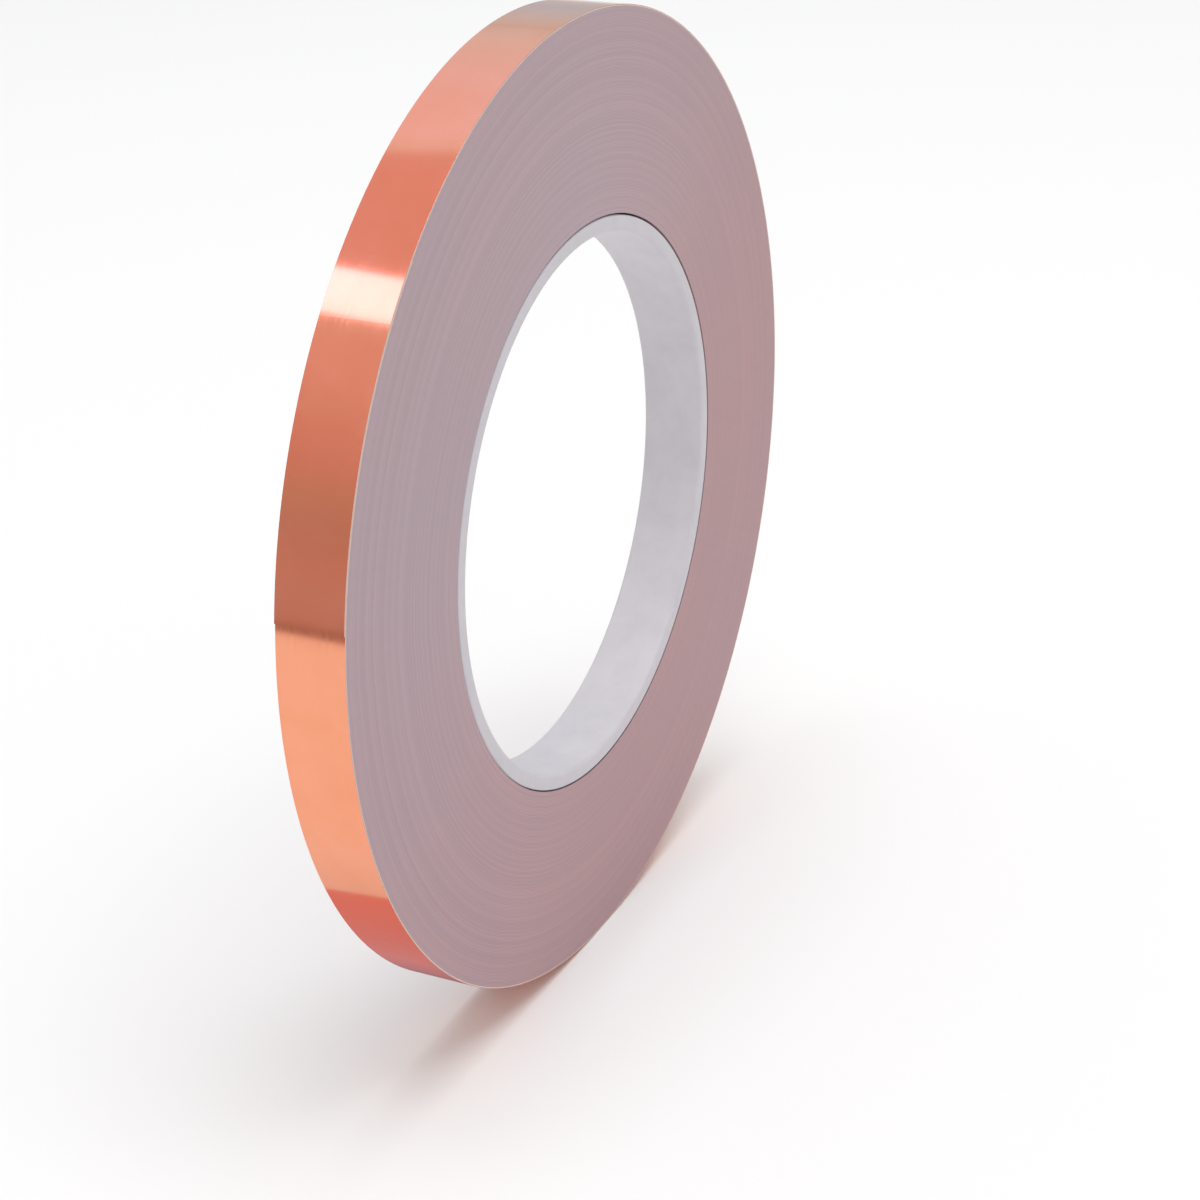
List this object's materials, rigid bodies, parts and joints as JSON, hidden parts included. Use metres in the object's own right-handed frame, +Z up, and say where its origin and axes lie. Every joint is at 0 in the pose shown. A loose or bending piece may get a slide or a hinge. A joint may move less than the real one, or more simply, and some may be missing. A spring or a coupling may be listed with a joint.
{
  "type": "copper foil tape roll",
  "caption": "Narrow adhesive-backed copper foil tape with a paper liner, wound on a thin ring core, for edging pieces of stained glass.",
  "frame": {"origin": "centre of the core's bore, halfway across the tape's width", "axes": "+Y along the bore axis, +Z up with the roll standing on its edge, the tape's free end on the -X side"},
  "size_m": [0.0909, 0.0064, 0.091],
  "materials": {
    "core_plastic": "satin",
    "tape_edges": "satin",
    "liner_paper": "matte",
    "adhesive": "satin",
    "copper_foil": "polished"
  },
  "bodies": {
    "roll": {"core": "core_plastic", "wound_turns": "tape_edges", "liner_outer_turn": "liner_paper", "adhesive_outer_turn": "adhesive", "foil_outer_turn": "copper_foil"},
    "tape_tail": {"liner_tail": "liner_paper", "adhesive_tail": "adhesive", "foil_tail": "copper_foil"},
    "foil_end": {"adhesive_flap": "adhesive", "foil_flap": "copper_foil"}
  },
  "joints": [
    {"name": "tail_lift", "type": "hinge", "parent": "roll", "child": "tape_tail", "pos_m": [-0.03197, 0, 0.0325], "axis": [0, 1, 0], "range_deg": [0, 55]},
    {"name": "foil_peel", "type": "hinge", "parent": "tape_tail", "child": "foil_end", "pos_m": [-0.03572, 0, 0.02839], "axis": [0, 1, 0], "range_deg": [0, 60]}
  ]
}
